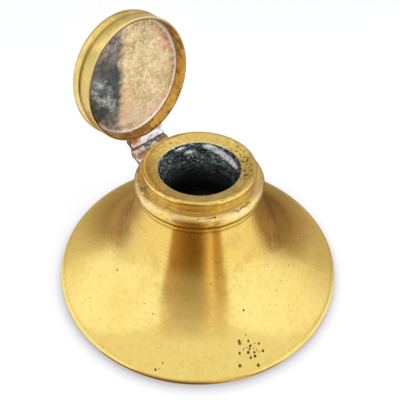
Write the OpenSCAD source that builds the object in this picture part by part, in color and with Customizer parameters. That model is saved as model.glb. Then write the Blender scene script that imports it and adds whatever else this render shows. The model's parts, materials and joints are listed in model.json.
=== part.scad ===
// Brass desk inkwell with a wide flared foot, a turned collar, a loaded base,
// a pottery ink pot and a shallow cap lid on a three knuckle hinge.
// The origin is at the middle of the felt on the table. +Z is up, the hinge is at the back (+Y).
// The lid is drawn as it stands in use, swung open.

/* [Body] */
// Diameter of the foot's rim
foot_d = 130; // [116:1:150]
// Height of the seam between the body and the collar above the table
body_h = 45.2; // [42:0.2:52]
// Outer diameter of the body at that seam
neck_d = 51.2; // [46:0.2:58]
// Thickness of the body's wall
body_wall = 2; // [1.2:0.1:2.4]
// Height of the rounded edge round the foot
rim_h = 3; // [2.4:0.1:4]
// How far the felt stands below the rim
felt_proud = 0.5; // [0.3:0.1:0.8]
// How far the steep part of the flare drops below the seam
flare_drop = 24; // [16:1:28]
// How far that steep part spreads outwards
flare_spread = 7; // [3:0.5:12]
// How far the shallow part of the flare runs in from the rim
flare_run = 22; // [12:1:26]
// How far that shallow part climbs
flare_climb = 6; // [3:0.5:9]

/* [Base] */
// Width of the rim's flat underside, outside the base plate
rim_land = 4; // [3:0.5:6]
// Width of the ring inside the foot that the base plate is pressed against
plate_ledge = 3; // [2:0.5:5]
// Thickness of the base plate
plate_t = 1.1; // [0.8:0.1:1.4]
// Thickness of the felt
felt_t = 1.1; // [0.9:0.1:1.6]
// Height of the weight's top above the table
weight_top = 21; // [18:0.5:26]

/* [Collar] */
// Height of the ledge above the seam
ledge_h = 7.1; // [6:0.1:9]
// How far the collar's lowest ring stands out past the neck
ring_out = 0.7; // [0.3:0.1:1.2]
// Height of that lowest ring
ring_h = 1.7; // [1.2:0.1:2]
// How far the bead stands out past the lowest ring
bead_out = 0.6; // [0.3:0.1:1]
// Depth of the bead's round, measured in towards the axis
bead_reach = 2.3; // [1.8:0.1:2.6]
// Width of the ledge between the bead and the wall under the lip
ledge_w = 1.9; // [1.2:0.1:2.6]
// Height of the lip above the ledge
register_h = 4.9; // [4.2:0.1:6]
// Height of the lip's rounded edge
lip_h = 1.6; // [1:0.1:2.2]
// How far the lip stands out past the wall under it
lip_undercut = 0.55; // [0.3:0.05:0.9]
// Diameter of the mouth
mouth_d = 33.7; // [30:0.1:34.6]
// How far the mouth's edge lies below the lip
mouth_dish = 1.45; // [0.6:0.05:1.8]
// Thickness of the mouth's edge
mouth_t = 1.8; // [1.2:0.1:2.4]
// Thickness of the collar's wall round the pot
collar_wall = 1.9; // [1.2:0.1:2.2]
// How far the collar's spigot goes down inside the neck
spigot_h = 6; // [4:0.5:10]

/* [Ink pot] */
// Height of the pot
pot_h = 38; // [34:0.5:40]
// Thickness of the pot's wall
pot_wall = 2.5; // [1.8:0.1:2.6]
// Thickness of the pot's floor
pot_floor = 3.5; // [2:0.1:5]
// Thickness of the washer between the pot and the collar
washer_t = 1; // [0.6:0.1:1.6]
// Thickness of the cushion under the pot
cushion_t = 2.5; // [1.5:0.1:4]

/* [Lid] */
// Angle between the lid as drawn and the lid shut
lid_open_angle = 90; // [0:1:100]
// Gap all round between the lip and the inside of the lid
lid_clearance = 1.1; // [0.7:0.1:1.6]
// Thickness of the lid's skirt
skirt_wall = 1.1; // [0.9:0.05:1.3]
// Height of the plain skirt
skirt_h = 4.9; // [4:0.1:6]
// Height of the groove between the skirt and the bead
groove_h = 0.9; // [0.5:0.1:1.4]
// Depth of that groove
groove_depth = 0.5; // [0.2:0.05:0.6]
// Height of the lid's bead
lid_bead_h = 4.4; // [3:0.1:6]
// How far the lid's bead stands out past the skirt
lid_bead_out = 0.4; // [0.2:0.05:1]
// Height of the dome above the bead
dome_h = 2.6; // [1.5:0.1:5]
// Thickness of the lid's dome
dome_wall = 1.3; // [0.9:0.1:2]
// Depth of the recess in the lid, down to the lining
recess_depth = 5.3; // [5.1:0.1:6]
// Thickness of the lining
lining_t = 0.9; // [0.6:0.1:1.4]

/* [Hinge] */
// Distance of the pin from the outside of the lid's skirt
hinge_reach = 5; // [4.8:0.1:7]
// How far the pin lies below the lid's edge when the lid is shut
pin_drop = 2.3; // [1.9:0.1:2.6]
// Outer diameter of the knuckles
knuckle_d = 4.4; // [3.6:0.1:4.8]
// Length of the hinge along its pin
hinge_len = 18.8; // [14:0.2:22]
// Length of the middle knuckle
middle_len = 6.2; // [4:0.2:7]
// Diameter of the pin
pin_d = 1.8; // [1.2:0.1:2.2]
// Thickness of the lid's leaf at the knuckles
leaf_t = 1.4; // [1:0.1:1.6]
// Height of the solder fillet that carries the lid's leaf up the skirt
leaf_rise = 2.1; // [1.6:0.1:3]

/* [Clearances] */
// Gap of pieces that are pushed together
fit_gap = 0.05; // [0.02:0.01:0.1]
// Radial gap of the pin in the middle knuckle
running_gap = 0.05; // [0.02:0.01:0.09]
// Gap between the ends of the knuckles
knuckle_gap = 0.2; // [0.1:0.05:0.4]
// Gap between a knuckle and the other leaf's notch
notch_gap = 0.35; // [0.3:0.05:0.6]
// Gap between the shut lid and the ledge
lid_seat_gap = 0.2; // [0.1:0.05:0.4]
// Gap round the pot inside the collar and the weight
pot_gap = 0.5; // [0.2:0.1:0.8]
// Gap between the weight and the inside of the body
weight_gap = 0.3; // [0.1:0.1:0.8]

/* [Hidden] */
$fn = 96;
cut = 1;

// Body
foot_r = foot_d / 2;
neck_r = neck_d / 2;
neck_bore_r = neck_r - body_wall;
rim_bottom = felt_proud;
rim_round = rim_h / 2;
rim_top = rim_bottom + rim_h;
rim_shoulder_r = foot_r - rim_round;
rim_angle = 78;
flare_steps = 28;
pocket_r = foot_r - rim_land;
plate_top = felt_t + plate_t;
inside_r = pocket_r - plate_ledge;

// Collar
ledge_z = body_h + ledge_h;
lip_z = ledge_z + register_h;
mouth_r = mouth_d / 2;
mouth_z = lip_z - mouth_dish;
mouth_under = mouth_z - mouth_t;
ring_r = neck_r + ring_out;
bead_r = ring_r + bead_out;
bead_mid_r = bead_r - bead_reach;
bead_angle = 60;
register_r = bead_mid_r - ledge_w;
lip_r = register_r + lip_undercut;
groove_r = bead_mid_r + bead_reach * cos(bead_angle);
bead_half = (ledge_h - ring_h) / (1 + sin(bead_angle));
lip_round = lip_h / 2;
lip_angle = 50;
edge_round = 0.4;
register_cove = 0.4;
lip_flat = 0.8;
pot_bore_r = register_r - collar_wall;

// Pot and its seats
pot_r = pot_bore_r - pot_gap;
pot_inner_r = pot_r - pot_wall;
pot_top = mouth_under - washer_t;
pot_bottom = pot_top - pot_h;
pot_round = 3;
pocket_floor = pot_bottom - cushion_t;

// Lid, shut
lid_z = ledge_z + lid_seat_gap;
skirt_in_r = lip_r + lid_clearance;
skirt_r = skirt_in_r + skirt_wall;
lid_bead_r = skirt_r + lid_bead_out;
lid_bead_reach = 1.3;
lid_bead_angle = 70;
lid_bead_low = skirt_h + groove_h;
lid_bead_top = lid_bead_low + lid_bead_h;
dome_step = 0.3;
dome_ledge_w = 1.2;
dome_r = lid_bead_r - lid_bead_reach - dome_ledge_w;
lining_r = skirt_in_r - fit_gap;
lining_top = recess_depth + lining_t;
lining_seat_w = 2;
lining_rim_w = 0.8;
lining_rim_slope_w = 0.2;
lining_rim_h = 0.35;
edge_break = 0.15;

// Hinge
pin_y = skirt_r + hinge_reach;
pin_z = lid_z - pin_drop;
knuckle_r = knuckle_d / 2;
pin_r = pin_d / 2;
notch_r = knuckle_r + notch_gap;
outer_len = (hinge_len - middle_len) / 2 - knuckle_gap;
pin_hold = 0.02;
pin_head_out = 0.5;
pin_head_r = pin_r + pin_head_out;
pin_head_h = 0.5;
pin_head_angle = 80;
leaf_low = knuckle_r - leaf_t;
leaf_root_w = 3;
leaf_toe = 0.6;
web_root_y = register_r - collar_wall;
web_low = body_h + fit_gap;
web_top_drop = 0.2;

// Points along an arc of an ellipse
function arc_points(cx, cz, rx, rz, from, to, steps) =
    [for (i = [0:steps]) let (a = from + (to - from) * i / steps) [cx + rx * cos(a), cz + rz * sin(a)]];

// The flare, from the seam (0) to the rim (1), and its direction
flare_ends = [[neck_r, body_h], [neck_r + flare_spread, body_h - flare_drop],
              [rim_shoulder_r - flare_run, rim_top + flare_climb], [rim_shoulder_r, rim_top]];
function flare_at(t) = pow(1 - t, 3) * flare_ends[0] + 3 * t * pow(1 - t, 2) * flare_ends[1]
    + 3 * t * t * (1 - t) * flare_ends[2] + pow(t, 3) * flare_ends[3];
function flare_way(t) = pow(1 - t, 2) * (flare_ends[1] - flare_ends[0])
    + 2 * t * (1 - t) * (flare_ends[2] - flare_ends[1]) + t * t * (flare_ends[3] - flare_ends[2]);
function flare_inside(t, depth) = let (way = flare_way(t), unit = way / norm(way))
    flare_at(t) + depth * [unit[1], -unit[0]];
flare_outer = [for (i = [0:flare_steps]) flare_at(i / flare_steps)];
function flare_inner(depth) = [for (i = [flare_steps:-1:0])
    let (p = flare_inside(i / flare_steps, depth)) if (p[0] < inside_r && p[1] > plate_top) p];

module along_x(length) {
    rotate([90, 0, 90]) linear_extrude(height = length, center = true) children();
}
module rod_x(r, length) {
    rotate([0, 90, 0]) cylinder(r = r, h = length, center = true);
}

// Puts a piece of the shut lid where it is drawn
module on_lid() {
    translate([0, pin_y, pin_z]) rotate([-lid_open_angle, 0, 0]) translate([0, -pin_y, -pin_z]) children();
}

module body_shell() {
    inner = flare_inner(body_wall);
    color("goldenrod") rotate_extrude() polygon(concat(
        flare_outer,
        arc_points(rim_shoulder_r, rim_top - rim_round, rim_round, rim_round, rim_angle, -rim_angle, 10),
        [[rim_shoulder_r, rim_bottom], [pocket_r, rim_bottom], [pocket_r, plate_top], [inside_r, plate_top]],
        [[inside_r, inner[0][1]]],
        inner,
        [[neck_bore_r, inner[len(inner) - 1][1]], [neck_bore_r, body_h]]
    ));
}

// Outside of the collar, from the mouth's edge to the seam
function collar_outer() = concat(
    [[mouth_r, mouth_under], [mouth_r, mouth_z - edge_break], [mouth_r + edge_break, mouth_z]],
    [[lip_r - lip_round - lip_flat, lip_z]],
    arc_points(lip_r - lip_round, lip_z - lip_round, lip_round, lip_round, 90, -lip_angle, 8),
    [[register_r, lip_z - lip_h - edge_round], [register_r, ledge_z + register_cove]],
    [[register_r + register_cove, ledge_z]],
    arc_points(bead_mid_r, ledge_z - bead_half, bead_reach, bead_half, 90, -bead_angle, 14),
    [[groove_r, body_h + ring_h]],
    arc_points(ring_r - edge_round, body_h + ring_h - edge_round, edge_round, edge_round, 90, 0, 4),
    [[ring_r, body_h]]
);

module neck_collar() {
    spigot_r = neck_bore_r - fit_gap;
    color("gold") rotate_extrude() polygon(concat(
        collar_outer(),
        [[spigot_r, body_h], [spigot_r, body_h - spigot_h]],
        [[pot_bore_r, body_h - spigot_h], [pot_bore_r, mouth_under]]
    ));
}

module pot_washer() {
    color("saddlebrown") translate([0, 0, pot_top]) difference() {
        cylinder(r = pot_r, h = washer_t);
        translate([0, 0, -cut]) cylinder(r = pot_inner_r, h = washer_t + 2 * cut);
    }
}

module ink_pot() {
    inner_floor = pot_bottom + pot_floor;
    color("dimgray") rotate_extrude() polygon(concat(
        [[0, pot_bottom]],
        arc_points(pot_r - pot_round, pot_bottom + pot_round, pot_round, pot_round, -90, 0, 6),
        [[pot_r, pot_top], [pot_inner_r, pot_top]],
        arc_points(pot_inner_r - pot_round, inner_floor + pot_round, pot_round, pot_round, 0, -90, 6),
        [[0, inner_floor]]
    ));
}

module pot_cushion() {
    color("peru") translate([0, 0, pocket_floor]) cylinder(r = pot_r - pot_round, h = cushion_t);
}

module base_weight() {
    inner = flare_inner(body_wall + weight_gap);
    color("slategray") difference() {
        intersection() {
            rotate_extrude() polygon(concat(
                [[0, plate_top], [inside_r - weight_gap, plate_top]],
                inner,
                [[0, inner[len(inner) - 1][1]]]
            ));
            translate([0, 0, plate_top]) cylinder(r = inside_r - weight_gap, h = weight_top - plate_top);
        }
        translate([0, 0, pocket_floor]) cylinder(r = pot_r + pot_gap, h = weight_top - pocket_floor + cut);
    }
}

module base_plate() {
    color("darkgoldenrod") translate([0, 0, felt_t]) cylinder(r = pocket_r - fit_gap, h = plate_t);
}

module base_felt() {
    color("darkgreen") cylinder(r = pocket_r - fit_gap, h = felt_t);
}

// Side view of the web between the outer knuckles and the collar
module web_side() {
    polygon([
        [web_root_y, web_low], [ring_r, web_low],
        [pin_y, pin_z - knuckle_r], [pin_y, pin_z],
        [pin_y - knuckle_r, pin_z - web_top_drop], [web_root_y, pin_z - web_top_drop]
    ]);
}

module hinge_body_leaf() {
    outer_x = hinge_len / 2 - outer_len / 2;
    color("rosybrown") difference() {
        union() {
            difference() {
                along_x(hinge_len) web_side();
                translate([0, pin_y, pin_z]) rod_x(notch_r, middle_len + 2 * knuckle_gap);
                translate([0, pin_y, pin_z - knuckle_d])
                    cube([middle_len + 2 * knuckle_gap, knuckle_d, 2 * knuckle_d], center = true);
                rotate_extrude() polygon(concat(
                    [for (p = collar_outer()) [p[0] + fit_gap, p[1]]],
                    [[ring_r + fit_gap, body_h - spigot_h], [0, body_h - spigot_h], [0, mouth_under]]
                ));
            }
            for (side = [-1, 1]) translate([side * outer_x, pin_y, pin_z]) rod_x(knuckle_r, outer_len);
        }
        translate([0, pin_y, pin_z]) rod_x(pin_r + pin_hold, hinge_len + 2 * cut);
    }
}

module hinge_pin() {
    end_x = hinge_len / 2;
    color("darkkhaki") translate([0, pin_y, pin_z]) rotate([0, 90, 0]) rotate_extrude() polygon(concat(
        [[0, -end_x - pin_head_h]],
        arc_points(0, -end_x - fit_gap, pin_head_r, pin_head_h - fit_gap, -pin_head_angle, 0, 5),
        [[pin_r, -end_x - fit_gap], [pin_r, end_x + fit_gap]],
        arc_points(0, end_x + fit_gap, pin_head_r, pin_head_h - fit_gap, 0, pin_head_angle, 5),
        [[0, end_x + pin_head_h]]
    ));
}

// Side view of the lid's leaf, with the lid shut
module lid_leaf_side() {
    root_y = skirt_r - leaf_root_w;
    polygon([
        [root_y, lid_z], [skirt_r, lid_z], [pin_y - notch_r, pin_z + leaf_low],
        [pin_y - notch_r, pin_z + knuckle_r], [skirt_r + leaf_toe, lid_z + leaf_rise], [root_y, lid_z + leaf_rise]
    ]);
}

module hinge_lid_leaf() {
    color("silver") on_lid() difference() {
        union() {
            difference() {
                along_x(hinge_len) lid_leaf_side();
                translate([0, 0, lid_z - cut]) cylinder(r = skirt_r + fit_gap, h = leaf_rise + 2 * cut);
            }
            along_x(middle_len) polygon([
                [pin_y - notch_r - fit_gap, pin_z + leaf_low], [pin_y, pin_z + leaf_low],
                [pin_y, pin_z + knuckle_r], [pin_y - notch_r - fit_gap, pin_z + knuckle_r]
            ]);
            translate([0, pin_y, pin_z]) rod_x(knuckle_r, middle_len);
        }
        translate([0, pin_y, pin_z]) rod_x(pin_r + running_gap, middle_len + 2 * cut);
    }
}

module lid_shell() {
    bead_mid = lid_z + lid_bead_low + lid_bead_h / 2;
    bead_half_h = lid_bead_h / 2;
    bead_c = lid_bead_r - lid_bead_reach;
    dome_z = lid_z + lid_bead_top - dome_step;
    inner_r = skirt_in_r - lining_seat_w;
    color("khaki") on_lid() rotate_extrude() polygon(concat(
        [[skirt_in_r, lid_z], [skirt_r - edge_break, lid_z], [skirt_r, lid_z + edge_break]],
        [[skirt_r, lid_z + skirt_h], [skirt_r - groove_depth, lid_z + skirt_h + edge_break]],
        [[skirt_r - groove_depth, lid_z + lid_bead_low]],
        arc_points(bead_c, bead_mid, lid_bead_reach, bead_half_h, -lid_bead_angle, 90, 12),
        [[dome_r + edge_round, lid_z + lid_bead_top]],
        arc_points(0, dome_z, dome_r, dome_h + dome_step, 0, 90, 14),
        arc_points(0, dome_z, dome_r - dome_wall, dome_h + dome_step - dome_wall, 90, 0, 14),
        [[inner_r, dome_z], [inner_r, lid_z + lining_top], [skirt_in_r, lid_z + lining_top]]
    ));
}

module lid_lining() {
    low = lid_z + recess_depth;
    color("wheat") on_lid() rotate_extrude() polygon([
        [0, low], [lining_r - lining_rim_w, low],
        [lining_r - lining_rim_w + lining_rim_slope_w, low - lining_rim_h],
        [lining_r, low - lining_rim_h], [lining_r, low + lining_t], [0, low + lining_t]
    ]);
}

body_shell();
neck_collar();
ink_pot();
pot_washer();
pot_cushion();
base_weight();
base_plate();
base_felt();
hinge_body_leaf();
hinge_pin();
hinge_lid_leaf();
lid_shell();
lid_lining();
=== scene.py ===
import json
import math
import random

import bpy
from mathutils import Euler, Matrix, Vector
from mathutils.kdtree import KDTree


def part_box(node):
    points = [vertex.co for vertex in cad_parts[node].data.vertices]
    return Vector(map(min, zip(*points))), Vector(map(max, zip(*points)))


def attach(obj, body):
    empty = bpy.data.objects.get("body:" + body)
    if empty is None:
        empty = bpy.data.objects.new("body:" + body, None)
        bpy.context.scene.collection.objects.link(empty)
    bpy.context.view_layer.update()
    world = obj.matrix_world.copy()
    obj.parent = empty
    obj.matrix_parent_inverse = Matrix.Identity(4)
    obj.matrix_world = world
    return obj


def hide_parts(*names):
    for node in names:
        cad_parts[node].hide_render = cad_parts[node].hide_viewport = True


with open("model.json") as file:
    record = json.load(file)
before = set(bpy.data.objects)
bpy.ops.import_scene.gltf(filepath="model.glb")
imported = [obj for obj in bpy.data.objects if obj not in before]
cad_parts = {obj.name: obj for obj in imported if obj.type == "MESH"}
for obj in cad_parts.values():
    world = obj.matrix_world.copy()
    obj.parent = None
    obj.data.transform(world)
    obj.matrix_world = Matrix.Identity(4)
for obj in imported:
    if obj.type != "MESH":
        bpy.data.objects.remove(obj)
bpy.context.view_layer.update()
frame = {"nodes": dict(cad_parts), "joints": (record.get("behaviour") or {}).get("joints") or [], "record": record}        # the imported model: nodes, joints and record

mm = 0.001
weldGap = 0.002 * mm
dirtSlot = 1             # the material slot of the pits, on the body and the collar
random.seed(29)
bpy.ops.object.select_all(action="DESELECT")

# The photograph's camera, fitted to the rim, the lip, the mouth, the lid and the hinge
shot = {
    "place": (-0.10079, -0.09470, 0.16855),
    "heading": 46.95,        # degrees from +Y towards +X
    "pitch": 43.49,          # degrees below the horizon
    "roll": 1.03,
    "focalPixels": 440,
    "imagePixels": 400,
    "sensor": 36,
    "clipStart": 0.01,
}

# Sizes that the turned pieces share, in millimetres
pinPlace = Vector(frame["joints"][0]["pos_m"]) / mm
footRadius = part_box("body_shell")[1].x / mm
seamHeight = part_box("body_shell")[1].z / mm
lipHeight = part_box("neck_collar")[1].z / mm
liningLevel = 57.8       # the lining's underside, with the lid shut
mouthRadius = next(m for m in frame["record"]["mounts"] if m["name"] == "ink_mouth")["dims"]["r_mm"]


def addCamera():
    bpy.ops.object.camera_add(location=shot["place"])
    camera = bpy.context.object
    aim = Euler((math.radians(90 - shot["pitch"]), 0, math.radians(-shot["heading"]))).to_matrix()
    camera.rotation_euler = (aim @ Matrix.Rotation(math.radians(shot["roll"]), 3, "Z")).to_euler()
    camera.data.sensor_width = shot["sensor"]
    camera.data.lens = shot["sensor"] * shot["focalPixels"] / shot["imagePixels"]
    camera.data.clip_start = shot["clipStart"]
    bpy.context.scene.camera = camera


# Outlines are (radius, height) points in millimetres

def arc(centre, radii, start, end, steps):
    points = []
    for i in range(steps + 1):
        a = math.radians(start + (end - start) * i / steps)
        points.append((centre[0] + radii[0] * math.cos(a), centre[1] + radii[1] * math.sin(a)))
    return points


def around(angle, radius, height):
    # a point beside the axis, by its angle in degrees from +X
    return (radius * math.cos(math.radians(angle)), radius * math.sin(math.radians(angle)), height)


def flareOutline(flare, depth, steps):
    # the bell curve from the seam to the foot's shoulder, set in by depth
    shoulder = footRadius - flare["rimHeight"] / 2
    rimTop = flare["rimBottom"] + flare["rimHeight"]
    p = [Vector((flare["seamRadius"], seamHeight)),
         Vector((flare["seamRadius"] + flare["spread"], seamHeight - flare["drop"])),
         Vector((shoulder - flare["run"], rimTop + flare["climb"])),
         Vector((shoulder, rimTop))]
    points = []
    for i in range(steps + 1):
        t = i / steps
        s = 1 - t
        at = s**3 * p[0] + 3 * t * s**2 * p[1] + 3 * t**2 * s * p[2] + t**3 * p[3]
        way = s**2 * (p[1] - p[0]) + 2 * t * s * (p[2] - p[1]) + t**2 * (p[3] - p[2])
        way.normalize()
        points.append((at.x + depth * way.y, at.y - depth * way.x))
    return points


# Modelling helpers

def pick(piece):
    bpy.ops.object.select_all(action="DESELECT")
    piece.select_set(True)
    bpy.context.view_layer.objects.active = piece


def turnPiece(name, outline, steps, closed=True):
    # draws the outline from one point by extruding, and spins it about Z
    bpy.ops.object.select_all(action="DESELECT")
    bpy.ops.mesh.primitive_plane_add(size=mm)
    piece = bpy.context.object
    piece.name = name
    piece.data.name = name
    bpy.ops.object.mode_set(mode="EDIT")
    bpy.ops.mesh.select_mode(type="VERT")
    bpy.ops.mesh.select_all(action="SELECT")
    bpy.ops.mesh.merge(type="CENTER")
    bpy.ops.transform.translate(value=(outline[0][0] * mm, 0, outline[0][1] * mm))
    points = outline + outline[:1] if closed else outline
    for before, after in zip(points, points[1:]):
        step = ((after[0] - before[0]) * mm, 0, (after[1] - before[1]) * mm)
        bpy.ops.mesh.extrude_vertices_move(TRANSFORM_OT_translate={"value": step})
    bpy.ops.mesh.select_all(action="SELECT")
    bpy.ops.mesh.remove_doubles(threshold=weldGap)
    bpy.ops.mesh.select_all(action="SELECT")
    bpy.ops.mesh.spin(steps=steps, angle=math.tau, center=(0, 0, 0), axis=(0, 0, 1))
    bpy.ops.mesh.select_all(action="SELECT")
    bpy.ops.mesh.remove_doubles(threshold=weldGap)
    bpy.ops.mesh.normals_make_consistent(inside=False)
    bpy.ops.object.mode_set(mode="OBJECT")
    return piece


def applyModifier(piece, kind, **settings):
    pick(piece)
    modifier = piece.modifiers.new(kind.title(), kind)
    for key, value in settings.items():
        setattr(modifier, key, value)
    bpy.ops.object.modifier_apply(modifier=modifier.name)


def softenEdges(piece, width, angle=35):
    applyModifier(piece, "BEVEL", width=width * mm, segments=2, limit_method="ANGLE",
                  angle_limit=math.radians(angle), harden_normals=False)


def roughen(piece, size, depth, group=""):
    # uneven, hand worked surface: lumps of that size and depth, in millimetres
    texture = bpy.data.textures.new(piece.name + "Clouds", "CLOUDS")
    texture.noise_scale = size * mm
    applyModifier(piece, "DISPLACE", texture=texture, texture_coords="LOCAL", mid_level=0.5,
                  strength=depth * mm, vertex_group=group)


def melt(piece, voxel):
    # rounds the edges off and runs what overlaps into one skin
    applyModifier(piece, "REMESH", mode="VOXEL", voxel_size=voxel * mm)
    applyModifier(piece, "SMOOTH", factor=0.5, iterations=4)


def swingOpen(piece):
    # turns a piece of the shut lid about the pin to where the frame has it
    turn = Matrix.Translation(pinPlace * mm) @ Matrix.Rotation(-math.pi / 2, 4, "X")
    piece.data.transform(turn @ Matrix.Translation(-pinPlace * mm))


def dent(piece, place, radius, depth, towards):
    # pushes in what lies within radius of the place, in millimetres
    centre = Vector(place) * mm
    push = Vector(towards).normalized() * depth * mm
    for vertex in piece.data.vertices:
        gap = (vertex.co - centre).length / (radius * mm)
        if gap < 1:
            vertex.co += push * (1 - gap * gap) ** 2


def sinkPits(piece, places, width, depth):
    # opens a small round pit at the vertices nearest to the places: a wall in two steps, as (inset, fall)
    steps = [(0.12, 0.7), (0.15, 0.3)]
    tree = KDTree(len(piece.data.vertices))
    for vertex in piece.data.vertices:
        tree.insert(vertex.co, vertex.index)
    tree.balance()
    pick(piece)
    bpy.ops.object.mode_set(mode="EDIT")
    bpy.ops.mesh.select_mode(type="VERT")
    bpy.ops.mesh.select_all(action="DESELECT")
    bpy.ops.object.mode_set(mode="OBJECT")
    for place in places:
        vertex = piece.data.vertices[tree.find(Vector(place) * mm)[1]]
        shift = Vector(place) * mm - vertex.co
        vertex.co += shift - vertex.normal * shift.dot(vertex.normal)
        vertex.select = True
    bpy.ops.object.mode_set(mode="EDIT")
    bpy.ops.mesh.bevel(offset=width * mm / 2, segments=2, affect="VERTICES")
    bpy.ops.mesh.select_mode(type="FACE")
    piece.active_material_index = dirtSlot
    bpy.ops.object.material_slot_assign()
    for inset, fall in steps:
        bpy.ops.mesh.inset(thickness=width * mm * inset, depth=-depth * mm * fall, use_individual=True)
    bpy.ops.mesh.select_all(action="DESELECT")
    bpy.ops.object.mode_set(mode="OBJECT")


def etchPits(piece, marks, depth, cuts):
    # round pits closer together than the mesh's own faces: cuts the faces finer there and pushes them in
    pit = {"margin": 0.8, "floorShare": 0.8, "steepness": 3}
    centres = [(Vector(place) * mm, width * mm / 2) for place, width in marks]
    pick(piece)
    bpy.ops.object.mode_set(mode="EDIT")
    bpy.ops.mesh.select_mode(type="FACE")
    bpy.ops.mesh.select_all(action="DESELECT")
    bpy.ops.object.mode_set(mode="OBJECT")
    for face in piece.data.polygons:
        face.select = any((face.center - centre).length < half + pit["margin"] * mm
                          for centre, half in centres)
    bpy.ops.object.mode_set(mode="EDIT")
    bpy.ops.mesh.subdivide(number_cuts=cuts)
    bpy.ops.mesh.select_all(action="DESELECT")
    bpy.ops.object.mode_set(mode="OBJECT")
    for (x, y, z), width in marks:
        dent(piece, (x, y, z), width / 2, depth * width, (-x, -y, -pit["steepness"] * math.hypot(x, y)))
    for face in piece.data.polygons:
        if any((face.center - centre).length < pit["floorShare"] * half for centre, half in centres):
            face.material_index = dirtSlot


# Shader helpers. A tree is made with shade(), and the others find it through the sockets they are given

def shade(tree, kind, inputs=None, **settings):
    node = tree.nodes.new("ShaderNode" + kind)
    for key, value in settings.items():
        setattr(node, key, value)
    for socket, value in (inputs or {}).items():
        if isinstance(value, bpy.types.NodeSocket):
            tree.links.new(value, node.inputs[socket])
        else:
            node.inputs[socket].default_value = value
    return node


def calc(operation, a, b=0.0, clamp=False):
    tree = (a if isinstance(a, bpy.types.NodeSocket) else b).id_data
    return shade(tree, "Math", {0: a, 1: b}, operation=operation, use_clamp=clamp).outputs[0]


def times(total, *others):
    for other in others:
        total = calc("MULTIPLY", total, other)
    return total


def most(total, *others):
    for other in others:
        total = calc("MAXIMUM", total, other)
    return total


def span(value, low, high, start=0.0, end=1.0):
    inputs = {"Value": value, "From Min": low, "From Max": high, "To Min": start, "To Max": end}
    return shade(value.id_data, "MapRange", inputs, interpolation_type="SMOOTHSTEP").outputs[0]


def band(value, low, high, soft):
    # 1 between low and high, and 0 further than soft outside them
    return times(span(value, low - soft, low), span(value, high + soft, high))


def blend(factor, a, b):
    return shade(factor.id_data, "Mix", {0: factor, 6: a, 7: b}, data_type="RGBA").outputs[2]


def noise(place, scale, detail, roughness=0.5):
    inputs = {"Vector": place, "Scale": scale, "Detail": detail, "Roughness": roughness}
    return shade(place.id_data, "TexNoise", inputs).outputs


def soot(place, scale, low, high):
    # a noise mask that is 0 below low and 1 above high
    return span(noise(place, scale, 6, 0.65)[0], low, high)


def threads(place, scale, width):
    # thin wandering lines
    away = calc("ABSOLUTE", calc("SUBTRACT", noise(place, scale, 3)[0], 0.5))
    return span(away, width, width * 0.3)


def wobble(place, scale, amount):
    # moves the place about by some millimetres, for ragged edges
    tree = place.id_data
    drift = noise(place, scale, 4)["Color"]
    drift = shade(tree, "VectorMath", {0: drift, 1: (0.5, 0.5, 0.5)}, operation="SUBTRACT").outputs[0]
    drift = shade(tree, "VectorMath", {0: drift, "Scale": 5 * amount * mm}, operation="SCALE").outputs[0]
    return shade(tree, "VectorMath", {0: place, 1: drift}, operation="ADD").outputs[0]


def spots(place, marks):
    # 1 near each centre and 0 beyond its reach, in millimetres
    found = []
    for centre, reach in marks:
        middle = tuple(v * mm for v in centre)
        gap = shade(place.id_data, "VectorMath", {0: place, 1: middle}, operation="DISTANCE").outputs["Value"]
        found.append(span(gap, reach * mm, 0.35 * reach * mm))
    return most(*found)


def ramp(value, stops):
    node = shade(value.id_data, "ValToRGB", {0: value})
    for place, colour in stops[2:]:
        node.color_ramp.elements.new(place)
    for element, (place, colour) in zip(node.color_ramp.elements, stops):
        element.position = place
        element.color = (*colour, 1)
    return node.outputs[0]


def rgb(r, g, b):
    return (r, g, b, 1)


def measures(grain, shape):
    # what masks go by: noise by the grain, and zones by the shape, in millimetres and degrees
    axes = shade(shape.id_data, "SeparateXYZ", {0: shape}).outputs
    x, y, height = [times(axis, 1 / mm) for axis in axes]
    return {"grain": grain, "shape": shape, "x": x, "y": y, "height": height,
            "radius": calc("SQRT", calc("ADD", times(x, x), times(y, y))),
            "angle": times(calc("ARCTAN2", y, x), math.degrees(1))}


def maskOf(at, share=1.0, within=(), patches=(), bands=(), slopes=(), marks=()):
    # the product of a share, other masks, noise patches (scale, low, high), bands (measure, low, high, soft),
    # slopes (measure, from, to and the values there) and round marks (centre, reach)
    parts = [share, *within]
    parts += [soot(at["grain"], *patch) for patch in patches]
    parts += [band(at[measure], *limits) for measure, *limits in bands]
    parts += [span(at[measure], *limits) for measure, *limits in slopes]
    if marks:
        parts.append(spots(at["shape"], marks))
    return times(*parts)


def stain(colour, tone, at, **mask):
    return blend(maskOf(at, **mask), colour, tone)


def newGroup(name, colours, numbers):
    # a node group with a Vector input, those inputs, and Color, Roughness and Height outputs
    tree = bpy.data.node_groups.new(name, "ShaderNodeTree")
    sockets = [("Vector", "INPUT", "Vector")]
    sockets += [(key, "INPUT", "Color") for key in colours]
    sockets += [(key, "INPUT", "Float") for key in numbers]
    sockets += [("Color", "OUTPUT", "Color"), ("Roughness", "OUTPUT", "Float"), ("Height", "OUTPUT", "Float")]
    for key, side, kind in sockets:
        tree.interface.new_socket(key, in_out=side, socket_type="NodeSocket" + kind)

    def close(colour, rough, height):
        out = tree.nodes.new("NodeGroupOutput")
        for socket, value in zip(out.inputs, (colour, rough, height)):
            tree.links.new(value, socket)
    return tree, tree.nodes.new("NodeGroupInput").outputs, close


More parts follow.
